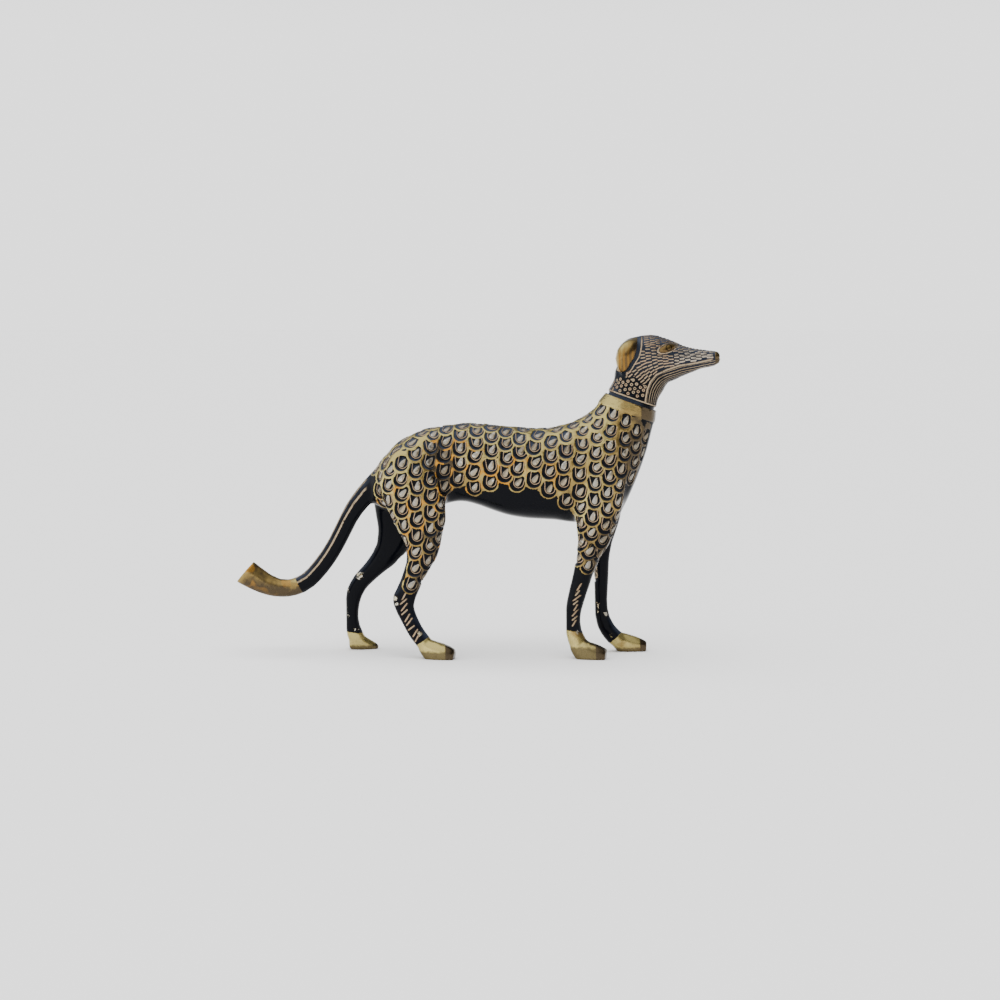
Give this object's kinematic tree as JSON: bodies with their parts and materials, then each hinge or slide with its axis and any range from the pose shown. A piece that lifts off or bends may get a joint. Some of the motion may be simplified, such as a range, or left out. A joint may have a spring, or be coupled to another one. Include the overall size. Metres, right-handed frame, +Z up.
{
  "type": "brass dog statue",
  "caption": "Standing brass hunting dog, cast in one piece, with a long muzzle, a collar, a low tail with an upturned end and scale engraving.",
  "frame": {"origin": "on the ground plane that the paws stand on, below the middle of the bounding box", "axes": "+X towards the dog's nose, +Y towards its left side, +Z up"},
  "size_m": [0.28, 0.0498, 0.1855],
  "materials": {
    "engraved_brass": "polished brass with engraved marks filled with black lacquer, worn on the high places"
  },
  "bodies": {
    "root": {"brass_dog": "engraved_brass"}
  },
  "joints": []
}
